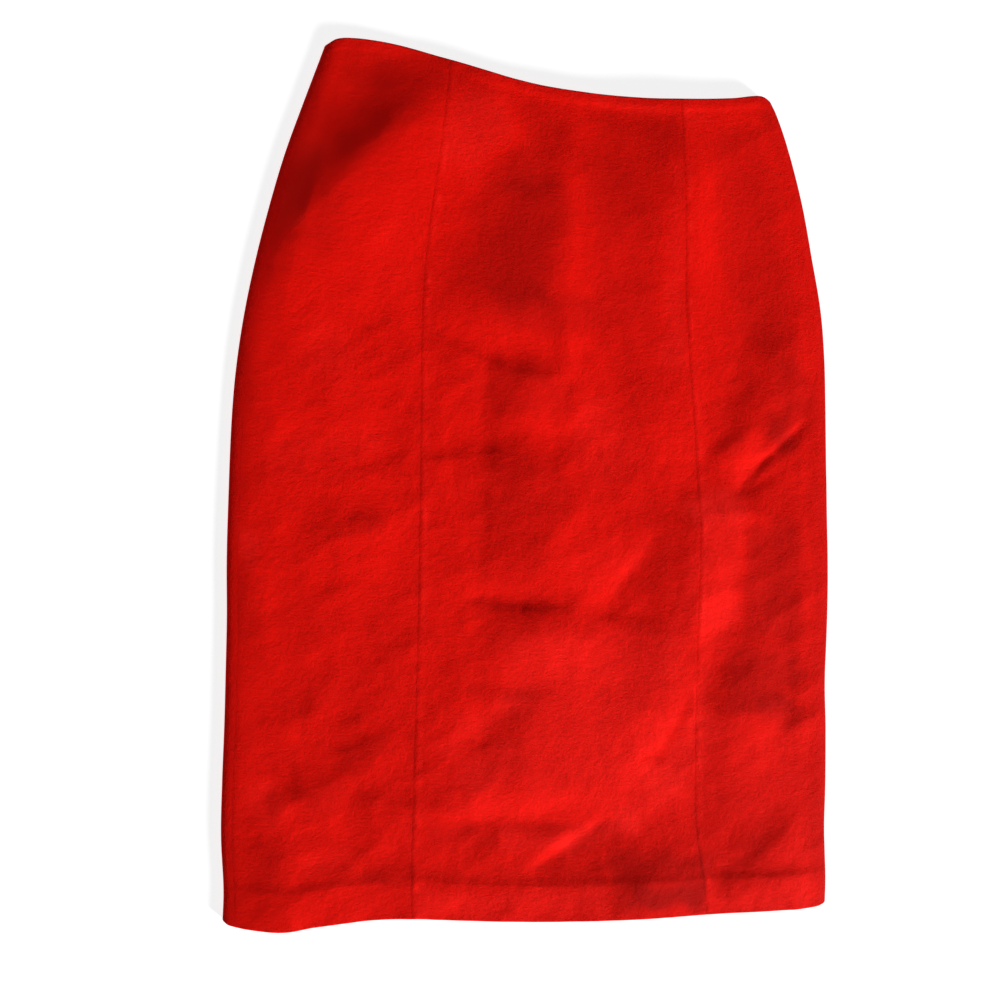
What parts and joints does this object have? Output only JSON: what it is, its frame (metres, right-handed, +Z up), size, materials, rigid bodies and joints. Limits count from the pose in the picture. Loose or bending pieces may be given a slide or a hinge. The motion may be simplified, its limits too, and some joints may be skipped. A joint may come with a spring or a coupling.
{
  "type": "pencil skirt",
  "caption": "Knee-length fitted skirt with shaped front panels and a concealed back zip, laid flat with its front up.",
  "frame": {"origin": "on the table under the middle of the laid skirt's bounding box", "axes": "+Z up from the table, +Y from hem to waist, +X to the right as seen from above with the waist away"},
  "size_m": [0.4871, 0.66, 0.0135],
  "materials": {
    "cloth": "brushed twill, soft sheen",
    "zip_tape": "plain woven tape with nylon coil",
    "zip_metal": "enamelled to match the cloth"
  },
  "bodies": {
    "skirt": {"front_centre": "cloth", "front_side_left": "cloth", "front_side_right": "cloth", "back_left": "cloth", "back_right": "cloth", "zip_tape_left": "zip_tape", "zip_tape_right": "zip_tape", "zip_slider": "zip_metal"},
    "pull_tab": {"zip_pull": "zip_metal"}
  },
  "joints": [
    {"name": "pull_tab_hinge", "type": "hinge", "parent": "skirt", "child": "pull_tab", "pos_m": [-0.01597, 0.295, 0.00145], "axis": [1, 0, 0], "range_deg": [0, 170]}
  ]
}
